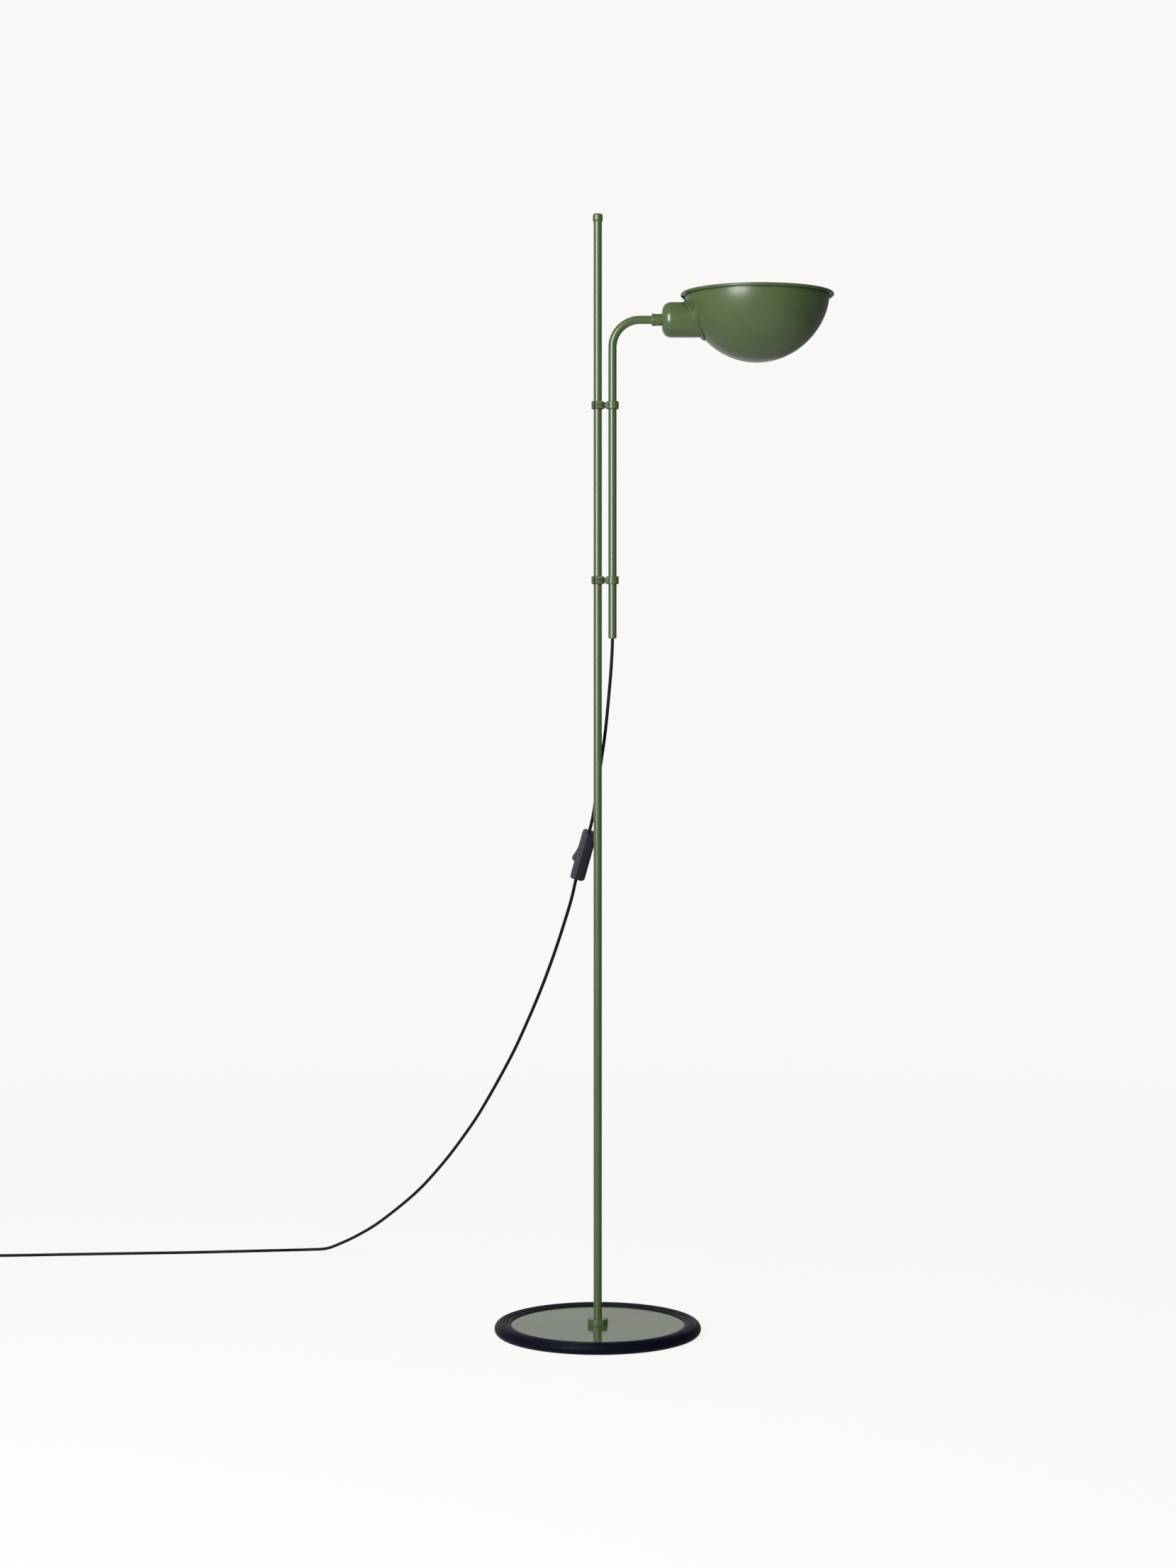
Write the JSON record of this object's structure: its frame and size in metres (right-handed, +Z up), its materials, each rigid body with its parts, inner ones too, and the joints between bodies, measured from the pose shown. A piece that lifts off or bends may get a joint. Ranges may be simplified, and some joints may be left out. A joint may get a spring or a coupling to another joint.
{
  "type": "adjustable arm floor lamp",
  "caption": "Floor lamp with a weighted round base, a thin pole, and a sliding, swivelling bent arm that carries a turning bowl shade.",
  "frame": {"origin": "on the floor, under the pole's axis, at the middle of the base", "axes": "+Z up along the pole; +X from the pole towards the shade; -Y towards the side with the clip screws"},
  "size_m": [1.1948, 0.6615, 1.35],
  "materials": {
    "green_paint": "semi-gloss powder coat",
    "base_green": "high gloss paint",
    "ring_rubber": "moulded, satin",
    "black_rubber": "matte",
    "black_plastic": "moulded, satin",
    "switch_plastic": "fine spark texture",
    "white_plastic": "moulded",
    "cord_black": "smooth sheath",
    "lead_blue": "insulation",
    "steel": "zinc plated",
    "cap_metal": "nickel plated",
    "brass": "turned",
    "bulb_glass": "frosted"
  },
  "bodies": {
    "stand": {"base_disc": "base_green", "base_ring": "ring_rubber", "base_pad": "black_rubber", "pole_foot": "green_paint", "foot_screw": "steel", "pole_bolt": "steel", "pole_washer": "steel", "pole_insert": "brass", "pole_tube": "green_paint", "pole_cap": "green_paint", "cord_lower": "cord_black", "cord_coil": "cord_black", "coil_tie": "black_plastic", "plug_tail": "black_rubber", "plug_body": "black_plastic", "plug_pins": "cap_metal"},
    "slider": {"pole_sleeves": "black_plastic", "cord_upper": "cord_black", "switch_front": "switch_plastic", "switch_back": "switch_plastic", "switch_screws": "steel", "switch_contacts": "brass"},
    "rocker": {"switch_rocker": "switch_plastic"},
    "arm": {"upper_clip": "green_paint", "lower_clip": "green_paint", "clip_screws": "green_paint", "arm_sleeves": "black_plastic", "arm_tube": "green_paint", "tube_bush": "black_rubber", "inner_cable": "cord_black", "arm_collar": "green_paint", "swivel_stem": "brass", "swivel_washer": "white_plastic", "swivel_nut": "brass"},
    "shade": {"socket_housing": "green_paint", "seam_flange": "green_paint", "shade_bowl": "green_paint", "housing_hub": "steel", "holder_screws": "steel", "holder_base": "white_plastic", "holder_shell": "white_plastic", "holder_thread": "brass", "holder_contact": "brass", "lead_wires": "lead_blue", "bulb_cap": "cap_metal", "bulb_globe": "bulb_glass"}
  },
  "joints": [
    {"name": "arm_height", "type": "slide", "parent": "stand", "child": "slider", "axis": [0, 0, 1], "range_m": [-0.3, 0.21], "deforming": ["cord_lower"]},
    {"name": "arm_swivel", "type": "hinge", "parent": "slider", "child": "arm", "pos_m": [0, 0, 1.119], "axis": [0, 0, 1], "range_deg": [-180, 180], "deforming": ["cord_upper"]},
    {"name": "shade_turn", "type": "hinge", "parent": "arm", "child": "shade", "pos_m": [0.09, 0, 1.222], "axis": [1, 0, 0], "range_deg": [-175, 175]},
    {"name": "switch_press", "type": "hinge", "parent": "slider", "child": "rocker", "pos_m": [-0.02252, 0.04684, 0.57705], "axis": [0.0418, 0.9877, 0.1507], "range_deg": [-2, 8]}
  ]
}
